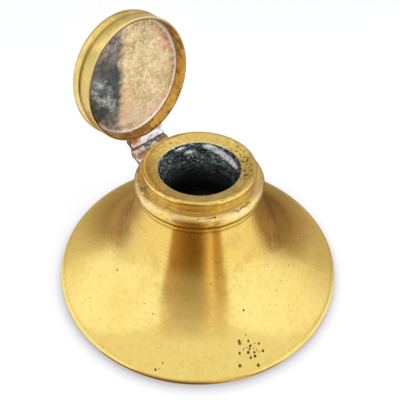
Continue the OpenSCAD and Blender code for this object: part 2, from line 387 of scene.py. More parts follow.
def agedBrassGroup():
    # mottled, speckled brass: broad tarnish, fine mottling, rare dark specks and polishing grain
    tree, given, close = newGroup("agedBrass", ("Brass", "Tarnish", "Warm"), ("Mottle", "Specks", "Polish"))
    at = given["Vector"]
    broad = noise(at, 55, 3)[0]
    fine = noise(at, 520, 7, 0.68)[0]
    grain = noise(at, 2600, 3, 0.6)[0]
    cells = shade(tree, "TexVoronoi", {"Vector": at, "Scale": 430, "Randomness": 1})
    keep = shade(tree, "SeparateColor", {0: cells.outputs["Color"]}).outputs[0]
    dot = times(span(cells.outputs["Distance"], 0.17, 0.07), span(keep, 0.80, 0.84), given["Specks"])
    blotch = times(span(fine, 0.44, 0.74), given["Mottle"])
    colour = blend(span(broad, 0.42, 0.72, 0.0, 0.55), given["Brass"], given["Warm"])
    colour = blend(blotch, colour, given["Tarnish"])
    colour = blend(dot, colour, given["Tarnish"])
    rough = calc("ADD", given["Polish"], times(fine, 0.06))
    rough = calc("ADD", rough, times(blotch, 0.25))
    rough = calc("ADD", rough, times(dot, 0.4), clamp=True)
    height = calc("ADD", times(grain, 0.12), times(fine, 0.25))
    height = calc("SUBTRACT", height, times(dot, 0.9))
    close(colour, rough, height)
    return tree


def crustGroup():
    # granular crust in three tones, for dried ink, solder, patina and cast iron
    tree, given, close = newGroup("crust", ("Deep", "Middle", "Pale"), ("Size", "PaleShare", "Dullness"))
    grit = noise(given["Vector"], given["Size"], 9, 0.72)[0]
    patch = noise(given["Vector"], times(given["Size"], 0.28), 4, 0.6)[0]
    mixed = calc("ADD", times(grit, 0.62), times(patch, 0.38))
    flake = calc("ADD", mixed, given["PaleShare"])
    colour = blend(span(mixed, 0.38, 0.58), given["Deep"], given["Middle"])
    colour = blend(span(flake, 0.60, 0.70), colour, given["Pale"])
    close(colour, calc("ADD", given["Dullness"], times(grit, 0.2), clamp=True), mixed)
    return tree


agedBrass = agedBrassGroup()
crust = crustGroup()


def newTree(owner):
    owner.use_nodes = True
    owner.node_tree.nodes.clear()
    return owner.node_tree


def newMaterial(name, metallic, bumpDepth):
    # returns the material, its object coordinates, and a function that fills the shader's sockets
    material = bpy.data.materials.new(name)
    tree = newTree(material)
    shader = shade(tree, "BsdfPrincipled", {"Metallic": metallic})
    shade(tree, "OutputMaterial", {0: shader.outputs[0]})

    def dress(colour, rough, height):
        bump = shade(tree, "Bump", {"Strength": 1.0, "Distance": bumpDepth * mm, "Height": height})
        tree.links.new(colour, shader.inputs["Base Color"])
        tree.links.new(rough, shader.inputs["Roughness"])
        tree.links.new(bump.outputs[0], shader.inputs["Normal"])
    return material, shade(tree, "TexCoord").outputs["Object"], dress


def useGroup(group, place, **inputs):
    node = shade(place.id_data, "Group", {"Vector": place, **inputs}, node_tree=group)
    return node.outputs["Color"], node.outputs["Roughness"], node.outputs["Height"]


def crustMaterial(name, metallic, bumpDepth, **look):
    material, place, dress = newMaterial(name, metallic, bumpDepth)
    dress(*useGroup(crust, place, **look))
    return material


def shutPlace(place):
    # where a point of the open lid lies when the lid is shut
    shift = (0, (pinPlace.y + pinPlace.z) * mm, (pinPlace.z - pinPlace.y) * mm)
    return shade(place.id_data, "Mapping", {"Vector": place, "Rotation": (math.pi / 2, 0, 0),
                                            "Location": shift}).outputs[0]


brassTone = {
    "brass": rgb(0.93, 0.70, 0.205),
    "warm": rgb(0.86, 0.60, 0.145),
    "olive": rgb(0.52, 0.37, 0.10),
    "tarnish": rgb(0.15, 0.08, 0.022),
    "rubbed": rgb(0.95, 0.80, 0.42),
}
pinkCopper = {"Deep": rgb(0.44, 0.26, 0.18), "Middle": rgb(0.98, 0.76, 0.66), "Pale": rgb(0.97, 0.86, 0.76),
              "Size": 560.0, "PaleShare": 0.06, "Dullness": 0.28}


def bodyBrass():
    neckBack = math.radians(43)        # from +X, the way that faces away from the camera
    material, place, dress = newMaterial("bodyBrass", 1.0, 0.02)
    at = measures(place, place)
    colour, rough, bump = useGroup(agedBrass, place, Brass=brassTone["brass"], Warm=brassTone["warm"],
                                   Tarnish=brassTone["tarnish"], Mottle=0.15, Specks=0.9, Polish=0.11)
    colour = stain(colour, rgb(0.84, 0.57, 0.13), at, slopes=[("height", 16, 40, 0.0, 0.75)])
    colour = stain(colour, brassTone["olive"], at, patches=[(130, 0.50, 0.62)],
                   slopes=[("height", 12, 30, 0.05, 0.28)])
    # painted shade and dark reflection on the neck's sides and back, turned away from the camera, mixed with
    # tarnish patches
    away = shade(place.id_data, "VectorMath", {0: place, 1: (math.cos(neckBack), math.sin(neckBack), 0)},
                 operation="DOT_PRODUCT").outputs["Value"]
    away = calc("DIVIDE", times(away, 1 / mm), at["radius"])
    colour = stain(colour, rgb(0.30, 0.18, 0.05), at, share=0.58, within=[span(away, -0.80, -0.1)],
                   slopes=[("height", 9, 27)], patches=[(60, 0.30, 0.52)])
    # painted shade with tarnish in the seam under the collar, and painted shade on the foot's low rim, where
    # it mirrors the shadowed floor
    seamDirtAndShade = maskOf(at, share=0.75, slopes=[("height", seamHeight - 1.8, seamHeight - 0.1)])
    footRimShade = maskOf(at, share=0.8, slopes=[("height", 2.9, 1.5)])
    colour = blend(most(seamDirtAndShade, footRimShade), colour, brassTone["tarnish"])
    # fine freckles: they dull the metal, so they look dark in a bright reflection and pale in a dark one
    freckles = maskOf(at, patches=[(1250, 0.56, 0.66), (90, 0.36, 0.60)])
    colour = stain(colour, brassTone["tarnish"], at, share=0.12, within=[freckles])
    dress(colour, calc("ADD", rough, times(freckles, 0.34), clamp=True), bump)
    return material


def collarBrass():
    material, place, dress = newMaterial("collarBrass", 1.0, 0.05)
    ragged = wobble(place, 500, 0.5)
    at = measures(place, ragged)
    exact = measures(place, place)
    colour, rough, bump = useGroup(agedBrass, place, Brass=rgb(0.90, 0.67, 0.19), Warm=rgb(0.78, 0.50, 0.13),
                                   Tarnish=rgb(0.17, 0.09, 0.03), Mottle=0.42, Specks=0.9, Polish=0.15)
    # the mouth ring: turning marks, then wear at the left, handling in front, and grit and brown at the right
    onRing = maskOf(at, slopes=[("height", 55.4, 55.7), ("radius", 22.3, 21.6)])
    rings = shade(place.id_data, "CombineXYZ", {0: times(exact["radius"], 0.9)}).outputs[0]
    worn = calc("ADD", span(noise(rings, 3.0, 5)[0], 0.42, 0.62, 0.10, 0.40), soot(place, 150, 0.48, 0.66))
    colour = stain(colour, brassTone["olive"], at, share=0.8, within=[onRing, worn],
                   slopes=[("angle", -88, -70, 1.0, 0.3)])
    colour = stain(colour, brassTone["olive"], at, share=0.42, within=[onRing],
                   bands=[("angle", -168, -98, 14)])
    colour = stain(colour, rgb(0.30, 0.17, 0.05), at, share=0.42, within=[onRing],
                   patches=[(1300, 0.50, 0.66)])
    colour = stain(colour, rgb(0.16, 0.08, 0.02), at, share=0.8,
                   within=[onRing, soot(ragged, 620, 0.51, 0.56)], bands=[("angle", -72, -6, 5)],
                   slopes=[("radius", 21.6, 20.0, 0.3, 1.0)])
    # the register and the ledge below it: olive, copper, grey, green and two spots of rust
    colour = stain(colour, rgb(0.50, 0.42, 0.10), at, share=0.28, bands=[("height", 53.3, 54.9, 0.4)])
    onLedge = maskOf(at, share=0.55, bands=[("height", 51.6, 53.4, 0.5)])
    colour = stain(colour, rgb(0.78, 0.50, 0.30), at, within=[onLedge], patches=[(230, 0.44, 0.56)])
    colour = stain(colour, rgb(0.36, 0.22, 0.13), at, share=0.75, patches=[(380, 0.40, 0.66)],
                   bands=[("angle", 128, 172, 6), ("height", 51.2, 53.6, 0.4)])
    colour = stain(colour, rgb(0.12, 0.14, 0.07), at, share=0.8, patches=[(600, 0.44, 0.56)],
                   bands=[("angle", -104, -88, 3), ("radius", 25.1, 25.6, 0.4)])
    colour = stain(colour, rgb(0.62, 0.24, 0.08), at, share=0.6,
                   marks=[((-22.6, 0.8, 52.6), 1.3), ((-22.4, 3.0, 52.8), 0.8)])
    # painted shade with some dirt in the corner by the ledge, under the lip and in the groove, and pale crust
    # at the mouth's edge
    corner = maskOf(exact, share=0.3, slopes=[("radius", 23.9, 23.2)], bands=[("height", 52.0, 52.8, 0.3)])
    under = maskOf(exact, slopes=[("radius", 22.2, 22.5)], bands=[("height", 55.6, 55.8, 0.2)])
    groove = band(exact["height"], 46.8, 47.2, 0.3)
    colour = stain(colour, brassTone["tarnish"], exact, share=0.8, within=[most(corner, under, groove)])
    colour = stain(colour, rgb(0.74, 0.76, 0.66), exact, share=0.8, patches=[(500, 0.42, 0.54)],
                   slopes=[("radius", mouthRadius + 0.34, mouthRadius + 0.2)])
    # a painted highlight on the bead's high side, in paler brass, with rubbed wear
    colour = stain(colour, brassTone["rubbed"], exact, share=0.55, patches=[(170, 0.40, 0.56)],
                   bands=[("height", 47.6, 51.6, 0.5)], slopes=[("radius", 25.4, 26.6)])
    dress(colour, calc("ADD", rough, times(onLedge, 0.2), clamp=True), bump)
    return material


def lidBrass():
    # places are those of the shut lid, so the skirt's rim is lowest and y falls towards the front
    material, place, dress = newMaterial("lidBrass", 1.0, 0.02)
    shut = shutPlace(place)
    at = measures(shut, shut)
    colour, rough, bump = useGroup(agedBrass, shut, Brass=brassTone["brass"], Warm=brassTone["warm"],
                                   Tarnish=brassTone["tarnish"], Mottle=0.26, Specks=0.9, Polish=0.15)
    # painted dark reflection with olive tarnish, growing towards the top of the open lid
    colour = stain(colour, brassTone["olive"], at, patches=[(70, 0.42, 0.62)],
                   slopes=[("y", -4, -22, 0.45, 0.85)])
    # painted shade and dark reflection on the skirt's inner wall: a copper brown tint, then dark patches with
    # tarnish that grow towards the top of the open lid and at the wall's top
    inside = maskOf(at, slopes=[("radius", 25.0, 24.6), ("height", 59.5, 58.5)])
    colour = stain(colour, rgb(0.80, 0.45, 0.17), at, share=0.35, within=[inside])
    shadeInSkirt = calc("ADD", soot(shut, 150, 0.47, 0.58), times(soot(shut, 620, 0.50, 0.62), 0.6))
    shadeInSkirt = calc("ADD", shadeInSkirt, span(at["y"], -6, -22, 0.0, 0.8), clamp=True)
    shadeInSkirt = most(shadeInSkirt, band(at["height"], 57.4, 58.2, 0.5))
    colour = stain(colour, rgb(0.17, 0.075, 0.025), at, share=0.78, within=[inside, shadeInSkirt])
    # a painted highlight on the bead, in paler brass, with rubbed wear
    colour = stain(colour, brassTone["rubbed"], at, share=0.5, bands=[("height", 58.8, 62.0, 0.6)],
                   slopes=[("radius", 25.0, 25.7), ("y", -12, 4)])
    # painted shade along the groove and the edges beside it, and painted shade with dirt down in the groove
    edgeShade = most(band(at["height"], 57.0, 57.4, 0.35), band(at["height"], 58.3, 58.6, 0.3),
                 times(band(at["height"], 62.2, 63.4, 0.5), 0.8))
    edgeShade = times(edgeShade, calc("SUBTRACT", 0.40, times(inside, 0.36)))
    colour = blend(edgeShade, colour, rgb(0.42, 0.26, 0.07))
    colour = stain(colour, brassTone["tarnish"], at, share=0.65, bands=[("height", 57.5, 58.3, 0.3)])
    # the skirt's rim: darker, with a painted highlight line along its outer edge and two painted glints on
    # the inner wall
    rim = span(at["height"], 52.8, 52.58)
    colour = stain(colour, rgb(0.40, 0.24, 0.08), at, share=0.35, within=[rim])
    glintSpots = spots(wobble(shut, 700, 0.5), [((24.6, 6.6, 55.3), 1.0), ((24.7, 5.2, 55.0), 0.8)])
    pale = most(maskOf(at, share=0.8, within=[rim], slopes=[("radius", 25.1, 25.3)]), times(glintSpots, inside))
    colour = blend(pale, colour, rgb(0.96, 0.86, 0.62))
    dress(colour, calc("ADD", rough, times(pale, 0.3), clamp=True), bump)
    return material


def liningPatina():
    material, place, dress = newMaterial("liningPatina", 0.3, 0.10)
    shut = shutPlace(place)
    ragged = wobble(wobble(shut, 90, 1.6), 420, 1.1)
    at = measures(shut, ragged)
    # marks on the disc as (x, y, reach)
    places = {
        "pink": [(18.2, -10.4, 4.4), (15.5, -14.5, 3.6), (-4.0, 14.0, 5.5), (9.5, 19.0, 4.5),
                 (-5.0, 5.0, 4.0), (21.5, 1.0, 3.2), (21.8, 9.0, 3.0), (-5.5, -6.0, 3.4)],
        "rust": [(18.6, -11.5, 1.8), (17.9, -8.0, 1.7), (16.0, -13.5, 1.2)],
        "brown": [(5.5, -16.0, 6.5), (1.0, -13.5, 4.5), (2.5, -20.5, 4.5)],
        "cloud": [(-15.5, 3.0, 7.0), (-17.5, -3.5, 5.0), (-11.5, 9.0, 4.5)],
    }
    marks = {key: [((x, y, liningLevel), reach) for x, y, reach in found] for key, found in places.items()}
    # the clean, cream side with its crazing, brown marks and pink patches
    colour, rough, bump = useGroup(crust, shut, Deep=rgb(0.58, 0.43, 0.20), Middle=rgb(0.89, 0.72, 0.41),
                                   Pale=rgb(1.0, 0.90, 0.66), Size=640.0, PaleShare=0.05, Dullness=0.36)
    colour = stain(colour, rgb(0.36, 0.24, 0.10), at, share=0.6, patches=[(1100, 0.55, 0.62)])
    colour = stain(colour, rgb(0.40, 0.28, 0.12), at, share=0.55, within=[threads(shut, 480, 0.03)],
                   patches=[(150, 0.44, 0.60)])
    colour = stain(colour, rgb(0.86, 0.48, 0.32), at, share=0.62, marks=marks["pink"])
    colour = stain(colour, rgb(0.62, 0.24, 0.12), at, share=0.6, marks=marks["rust"])
    colour = stain(colour, rgb(0.58, 0.32, 0.12), at, share=0.5, marks=marks["brown"],
                   patches=[(300, 0.46, 0.60)])
    colour = stain(colour, rgb(0.22, 0.10, 0.03), at, share=0.8, marks=marks["brown"],
                   within=[threads(shut, 230, 0.035)])
    colour = stain(colour, rgb(0.34, 0.20, 0.10), at, share=0.65, slopes=[("radius", 19.5, 22.8)],
                   patches=[(520, 0.47, 0.58)])
    colour = stain(colour, rgb(0.94, 0.74, 0.60), at, share=0.7, slopes=[("y", 9, 19)],
                   patches=[(420, 0.34, 0.60)])
    # the tarnished side, teal grey with a mauve top and bottom
    dark = useGroup(crust, shut, Deep=rgb(0.03, 0.034, 0.03), Middle=rgb(0.108, 0.117, 0.103),
                    Pale=rgb(0.38, 0.44, 0.41), Size=330.0, PaleShare=0.03, Dullness=0.4)[0]
    dark = stain(dark, rgb(0.58, 0.66, 0.62), at, share=0.95, marks=marks["cloud"],
                 patches=[(200, 0.34, 0.60), (1100, 0.30, 0.62)])
    ends = most(span(at["y"], -6.5, -16), span(at["y"], 9, 18))
    dark = stain(dark, rgb(0.40, 0.30, 0.25), at, within=[ends], patches=[(700, 0.34, 0.62)])
    at["side"] = calc("ADD", at["x"], times(at["y"], 0.14))
    dark = stain(dark, rgb(0.05, 0.052, 0.05), at, share=0.75, patches=[(240, 0.40, 0.56)],
                 bands=[("side", -9.2, -7.6, 1.4), ("y", -9, 10, 4)])
    colour = blend(span(at["side"], -3.6, -8.0), colour, dark)
    # a painted highlight along the disc's rim, stronger towards the right
    rim = calc("ADD", measures(shut, shut)["radius"], times(soot(shut, 380, 0.30, 0.70), 0.9))
    colour = stain(colour, rgb(0.97, 0.86, 0.76), at, within=[span(rim, 23.2, 23.9)],
                   slopes=[("x", -6, 4, 0.35, 0.85)])
    dress(colour, rough, bump)
    return material


def hingeTarnish():
    material, place, dress = newMaterial("hingeTarnish", 0.35, 0.12)
    at = measures(place, wobble(place, 700, 0.35))
    colour, rough, bump = useGroup(crust, place, **pinkCopper)
    beige = blend(soot(place, 420, 0.42, 0.60), rgb(0.26, 0.15, 0.08), rgb(0.72, 0.55, 0.38))
    colour = stain(colour, beige, at, slopes=[("x", -4.5, 0)])
    shadowed = maskOf(at, share=0.6, slopes=[("height", pinPlace.z - 0.4, pinPlace.z - 1.6)])
    pits = times(soot(place, 900, 0.57, 0.63), 0.8)
    colour = blend(most(pits, shadowed), colour, rgb(0.06, 0.045, 0.035))
    dress(colour, rough, bump)
    return material


def hingeSolder():
    # silver solder at the right, copper at the left, and a dark seam above the pin
    material, place, dress = newMaterial("hingeSolder", 0.4, 0.12)
    at = measures(place, wobble(place, 600, 0.45))
    silver, rough, bump = useGroup(crust, place, Deep=rgb(0.46, 0.47, 0.48), Middle=rgb(1.0, 1.0, 1.0),
                                   Pale=rgb(0.96, 0.96, 0.96), Size=420.0, PaleShare=0.08, Dullness=0.26)
    copper = useGroup(crust, place, Deep=rgb(0.28, 0.10, 0.035), Middle=rgb(0.70, 0.36, 0.16),
                      Pale=rgb(0.90, 0.62, 0.40), Size=500.0, PaleShare=0.02, Dullness=0.3)[0]
    copper = stain(copper, useGroup(crust, place, **pinkCopper)[0], at, slopes=[("height", 54.7, 53.9)])
    barrel = blend(soot(place, 300, 0.42, 0.58), rgb(0.44, 0.40, 0.26), rgb(0.80, 0.76, 0.58))
    silver = stain(silver, barrel, at, slopes=[("height", 52.4, 51.9)])
    colour = stain(silver, copper, at, slopes=[("x", -2.8, -4.0)])
    colour = stain(colour, rgb(0.035, 0.05, 0.05), at, share=0.9, patches=[(260, 0.30, 0.50)],
                   bands=[("height", pinPlace.z + 2.0, pinPlace.z + 2.6, 0.2)])
    colour = stain(colour, rgb(0.09, 0.05, 0.03), at, share=0.8, slopes=[("x", -8.5, -9.2)])
    dress(colour, rough, bump)
    return material


def inkCrust():
    # dried ink: grey and white flakes high on the back wall, and painted shade that turns the crust black
    # down in the pot
    squeeze = 2.2                      # flakes lie flat, so heights are stretched in their noise
    material, place, dress = newMaterial("inkCrust", 0.0, 0.25)
    flat = shade(place.id_data, "Mapping", {"Vector": place, "Scale": (1, 1, squeeze)}).outputs[0]
    at = measures(flat, place)
    # marks on the wall as (x, y, height, reach)
    places = {
        "white": [(17.0, 4.0, 52.3, 6.0), (17.4, 0.5, 51.0, 6.0), (17.2, -3.2, 50.0, 5.5),
                  (15.5, 8.0, 53.6, 5.0), (5.0, 16.5, 53.5, 3.5), (9.0, 14.5, 50.5, 3.0)],
        "teal": [(16.3, 6.0, 47.5, 8.0), (17.0, 0.0, 46.5, 7.0), (12.5, 12.0, 49.0, 6.0),
                 (8.0, 15.0, 44.0, 6.0), (-2.0, 17.3, 50.0, 5.0)],
    }
    marks = {key: [((x, y, z * squeeze), reach) for x, y, z, reach in found] for key, found in places.items()}
    white = spots(wobble(flat, 900, 0.8), marks["white"])
    teal = spots(wobble(flat, 260, 1.4), marks["teal"])
    share = calc("ADD", span(at["height"], 36, 51, -0.10, -0.015), times(white, 0.06))
    colour, rough, bump = useGroup(crust, flat, Deep=rgb(0.010, 0.012, 0.014), Middle=rgb(0.12, 0.135, 0.135),
                                   Pale=rgb(0.85, 0.90, 0.84), Size=560.0, PaleShare=share, Dullness=0.45)
    colour = stain(colour, rgb(0.26, 0.34, 0.32), at, within=[teal], patches=[(350, 0.40, 0.58)])
    hollows = most(soot(flat, 800, 0.54, 0.44), soot(flat, 170, 0.57, 0.47))
    colour = stain(colour, rgb(0.006, 0.007, 0.008), at, share=0.9, within=[hollows])
    colour = stain(colour, rgb(0.66, 0.71, 0.67), at, patches=[(760, 0.55, 0.61)],
                   slopes=[("height", 38, 50, 0.15, 0.9)])
    colour = stain(colour, rgb(0.98, 1.0, 0.97), at, within=[white], patches=[(900, 0.34, 0.47)])
    # painted shade: the crust darkens to black deeper in the pot
    colour = stain(colour, rgb(0.004, 0.004, 0.005), at, slopes=[("height", 44, 32)])
    dress(colour, rough, bump)
    return material


def makeBody():
    flare = {"seamRadius": 25.6, "drop": 24, "spread": 7, "run": 22, "climb": 6, "wall": 2, "steps": 56,
             "rimBottom": 0.5, "rimHeight": 3, "rimEnd": 78, "pocketRadius": 61, "ledgeHeight": 2.2,
             "insideRadius": 58, "insideSteps": 30, "turns": 288, "waves": [(22, 0.16), (7, 0.03)]}
    half = flare["rimHeight"] / 2
    shoulder = footRadius - half
    inner = [p for p in reversed(flareOutline(flare, flare["wall"], flare["insideSteps"]))
             if p[0] < flare["insideRadius"] and p[1] > flare["ledgeHeight"]]
    outline = flareOutline(flare, 0, flare["steps"])
    outline += arc((shoulder, flare["rimBottom"] + half), (half, half), flare["rimEnd"], -flare["rimEnd"], 14)
    outline += [(shoulder, flare["rimBottom"]), (flare["pocketRadius"], flare["rimBottom"])]
    outline += [(flare["pocketRadius"], flare["ledgeHeight"]), (flare["insideRadius"], flare["ledgeHeight"])]
    outline += [(flare["insideRadius"], inner[0][1])] + inner
    outline += [(flare["seamRadius"] - flare["wall"], seamHeight)]
    piece = turnPiece("body_brass_shell", outline, flare["turns"])
    for size, depth in flare["waves"]:
        roughen(piece, size, depth)
    return piece, flare


def pointOnFlare(flare, angle, radius):
    outline = flareOutline(flare, 0, flare["steps"])
    a, b = next((a, b) for a, b in zip(outline, outline[1:]) if a[0] <= radius <= b[0])
    return around(angle, radius, a[1] + (b[1] - a[1]) * (radius - a[0]) / (b[0] - a[0]))


def pitBody(piece, flare):
    # corrosion pits: small strays all over, then marks by (angle, radius, width), a cluster and a few alone
    strays = {"count": 80, "radii": (28, 62), "width": 0.36, "depth": 0.2}
    pits = {"depth": 0.3, "cuts": 5,
            "marks": [(-114.2, 55.3, 1.5), (-115.9, 57.2, 1.6), (-113.9, 59.2, 1.6), (-120.7, 60.8, 1.7),
                      (-114.1, 62.6, 1.7), (-117.9, 52.8, 1.2), (-114.2, 53.5, 1.3), (-114.9, 56.2, 1.2),
                      (-110.4, 55.7, 1.3), (-110.1, 58.6, 1.4), (-119.4, 56.6, 1.4), (-113.6, 57.9, 1.2),
                      (-115.7, 59.2, 1.4), (-117.3, 55.7, 0.8), (-115.9, 55.4, 0.7), (-113.2, 56.5, 0.7),
                      (-112.3, 57.5, 0.7), (-114.3, 51.2, 0.8), (-111.6, 58.5, 0.6), (-112.0, 55.0, 0.7),
                      (-111.2, 43.5, 1.1), (-151.5, 62.3, 1.2), (-149.5, 59.4, 0.9), (165, 41, 1.0),
                      (-28, 54, 0.9), (40, 50, 1.1)]}
    areas = [radius**2 for radius in strays["radii"]]
    small = [pointOnFlare(flare, random.uniform(-180, 180), math.sqrt(random.uniform(*areas)))
             for i in range(strays["count"])]
    sinkPits(piece, small, strays["width"], strays["depth"])
    etchPits(piece, [(pointOnFlare(flare, angle, radius), width) for angle, radius, width in pits["marks"]],
             pits["depth"], pits["cuts"])


def makeCollar():
    ring = {"seamRing": 26.3, "ringHeight": 1.7, "ledge": 52.3, "beadOut": 26.9, "beadReach": 2.3,
            "beadEnd": 60, "register": 22.7, "lip": 23.25, "lipHeight": 1.6, "lipFlat": 0.8, "lipEnd": 50,
            "mouthHeight": 55.75, "mouthUnder": 53.95, "edge": 0.4, "breakEdge": 0.15, "softEdge": 0.08,
            "cove": [(0, 1.6), (0.06, 0.8)], "spigot": 23.55, "spigotBottom": 39.2, "potBore": 20.8,
            "slopeSteps": 14, "turns": 320, "waves": [(9, 0.07), (1.6, 0.05)]}
    edge = ring["edge"]
    lipRound = ring["lipHeight"] / 2
    beadMid = ring["beadOut"] - ring["beadReach"]
    beadEnd = math.radians(ring["beadEnd"])
    beadHalf = (ring["ledge"] - seamHeight - ring["ringHeight"]) / (1 + math.sin(beadEnd))
    ringTop = seamHeight + ring["ringHeight"]
    slopeStart = Vector((mouthRadius + ring["breakEdge"], ring["mouthHeight"]))
    slopeEnd = Vector((ring["lip"] - lipRound - ring["lipFlat"], lipHeight))
    # up through the mouth, out over the dished ring and the lip, and down the register
    outline = [(mouthRadius, ring["mouthUnder"]), (mouthRadius, ring["mouthHeight"] - ring["breakEdge"])]
    outline += [tuple(slopeStart.lerp(slopeEnd, i / ring["slopeSteps"]))
                for i in range(ring["slopeSteps"] + 1)]
    outline += arc((ring["lip"] - lipRound, lipHeight - lipRound), (lipRound, lipRound),
                   90, -ring["lipEnd"], 12)
    outline += [(ring["register"], lipHeight - ring["lipHeight"] - edge)]
    outline += [(ring["register"] + out, ring["ledge"] + up) for out, up in ring["cove"]]
    outline += [(ring["register"] + edge / 3, ring["ledge"] + edge / 2)]
    outline += [(ring["register"] + edge, ring["ledge"])]
    # round the bead and the lowest ring, and up inside
    outline += arc((beadMid, ring["ledge"] - beadHalf), (ring["beadReach"], beadHalf),
                   90, -ring["beadEnd"], 24)
    outline += [(beadMid + ring["beadReach"] * math.cos(beadEnd), ringTop)]
    outline += arc((ring["seamRing"] - edge, ringTop - edge), (edge, edge), 90, 0, 5)
    outline += [(ring["seamRing"], seamHeight), (ring["spigot"], seamHeight)]
    outline += [(ring["spigot"], ring["spigotBottom"]), (ring["potBore"], ring["spigotBottom"])]
    outline += [(ring["potBore"], ring["mouthUnder"])]
    piece = turnPiece("collar_brass_ring", outline, ring["turns"])
    softenEdges(piece, ring["softEdge"])
    for size, depth in ring["waves"]:
        roughen(piece, size, depth)
    return piece


def ageCollar(piece):
    # pits on the right of the mouth ring, then knocks and scratches, by (angle, radius, width), on the ledge
    pits = {"angles": (-70, -8), "radii": (17.6, 21.4), "count": 60, "height": 56.5, "width": 0.3,
            "depth": 0.2}
    knocks = {"height": 52.1, "depth": 0.3, "fall": 1.5,
              "places": [(-136, 26.1, 0.9), (-132.5, 26.0, 1.1), (-129, 25.9, 0.8), (-124.5, 26.1, 1.2),
                         (-121, 25.9, 0.9), (-101, 25.6, 1.3), (-93, 25.4, 1.0), (150, 25.7, 1.1),
                         (163, 25.5, 0.9)]}
    scratches = {"height": 52.15, "depth": 0.25, "cuts": 1,
                 "runs": [((-137.5, 25.85, 0.5), (0.9, -0.02, 0.04), 17, (5, 12)),
                          ((-103, 25.5, 0.7), (1.1, -0.05, 0), 9, (3, 7))]}
    places = []
    for i in range(pits["count"]):
        angle = random.uniform(*pits["angles"])
        places.append(around(angle, random.uniform(*pits["radii"]), pits["height"]))
    sinkPits(piece, places, pits["width"], pits["depth"])
    for angle, radius, reach in knocks["places"]:
        inward = around(angle, -1, -knocks["fall"])
        dent(piece, around(angle, radius, knocks["height"]), reach, knocks["depth"], inward)
    marks = []
    for first, step, count, gaps in scratches["runs"]:
        for i in range(count):
            if i not in gaps:
                angle, radius, width = [value + i * change for value, change in zip(first, step)]
                marks.append((around(angle, radius, scratches["height"]), width))
    etchPits(piece, marks, scratches["depth"], scratches["cuts"])


def makeLid():
    # turned shut, from the skirt's rim up over the groove, bead and dome, and back down inside
    cap = {"rim": 52.5, "inner": 24.35, "outer": 25.45, "skirt": 4.9, "groove": 0.9, "grooveDepth": 0.5,
           "beadHeight": 4.4, "beadOut": 25.85, "beadReach": 1.3, "beadStart": 70, "domeRadius": 23.35,
           "domeHeight": 2.6, "domeStep": 0.3, "domeWall": 1.3, "liningTop": 6.2, "liningSeat": 2,
           "edge": 0.4, "breakEdge": 0.15, "softEdge": 0.1, "turns": 256, "wave": (12, 0.10)}
    skirtTop = cap["rim"] + cap["skirt"]
    beadLow = skirtTop + cap["groove"]
    beadTop = beadLow + cap["beadHeight"]
    domeLow = beadTop - cap["domeStep"]
    domeRise = cap["domeHeight"] + cap["domeStep"]
    seatTop = cap["rim"] + cap["liningTop"]
    outline = [(cap["inner"], cap["rim"]), (cap["outer"] - cap["breakEdge"], cap["rim"])]
    outline += [(cap["outer"], cap["rim"] + cap["breakEdge"]), (cap["outer"], skirtTop)]
    outline += [(cap["outer"] - cap["grooveDepth"], skirtTop + cap["breakEdge"])]
    outline += [(cap["outer"] - cap["grooveDepth"], beadLow)]
    outline += arc((cap["beadOut"] - cap["beadReach"], beadLow + cap["beadHeight"] / 2),
                   (cap["beadReach"], cap["beadHeight"] / 2), -cap["beadStart"], 90, 18)
    outline += [(cap["domeRadius"] + cap["edge"], beadTop)]
    outline += arc((0, domeLow), (cap["domeRadius"], domeRise), 0, 90, 24)
    outline += arc((0, domeLow), (cap["domeRadius"] - cap["domeWall"], domeRise - cap["domeWall"]), 90, 0, 16)
    outline += [(cap["inner"] - cap["liningSeat"], domeLow), (cap["inner"] - cap["liningSeat"], seatTop)]
    outline += [(cap["inner"], seatTop)]
    piece = turnPiece("lid_brass_cap", outline, cap["turns"])
    softenEdges(piece, cap["softEdge"])
    roughen(piece, *cap["wave"])
    swingOpen(piece)
    return piece


def makeLining():
    disc = {"radius": 24.3, "thickness": 0.9, "rimWidth": 0.8, "rimSlope": 0.2, "rimDrop": 0.35,
            "rings": 26, "turns": 160, "softEdge": 0.08, "waves": [(8, 0.22), (2.2, 0.07)]}
    flat = disc["radius"] - disc["rimWidth"]
    rimLow = liningLevel - disc["rimDrop"]
    top = liningLevel + disc["thickness"]
    outline = [(flat * i / disc["rings"], liningLevel) for i in range(disc["rings"] + 1)]
    outline += [(flat + disc["rimSlope"], rimLow), (disc["radius"], rimLow), (disc["radius"], top), (0, top)]
    piece = turnPiece("lid_lining_disc", outline, disc["turns"], closed=False)
    softenEdges(piece, disc["softEdge"])
    for size, depth in disc["waves"]:
        roughen(piece, size, depth)
    swingOpen(piece)
    return piece


def makePot():
    pot = {"outer": 20.3, "inner": 17.8, "bottom": 14.95, "top": 52.95, "floor": 3.5, "round": 3,
           "turns": 128, "softEdge": 0.4}
    corner = pot["round"]
    floorHeight = pot["bottom"] + pot["floor"]
    outline = [(0, pot["bottom"])]
    outline += arc((pot["outer"] - corner, pot["bottom"] + corner), (corner, corner), -90, 0, 10)
    outline += [(pot["outer"], pot["top"]), (pot["inner"], pot["top"])]
    outline += arc((pot["inner"] - corner, floorHeight + corner), (corner, corner), 0, -90, 10)
    outline += [(0, floorHeight)]
    piece = turnPiece("ink_pot_glazed", outline, pot["turns"], closed=False)
    softenEdges(piece, pot["softEdge"])
    return piece


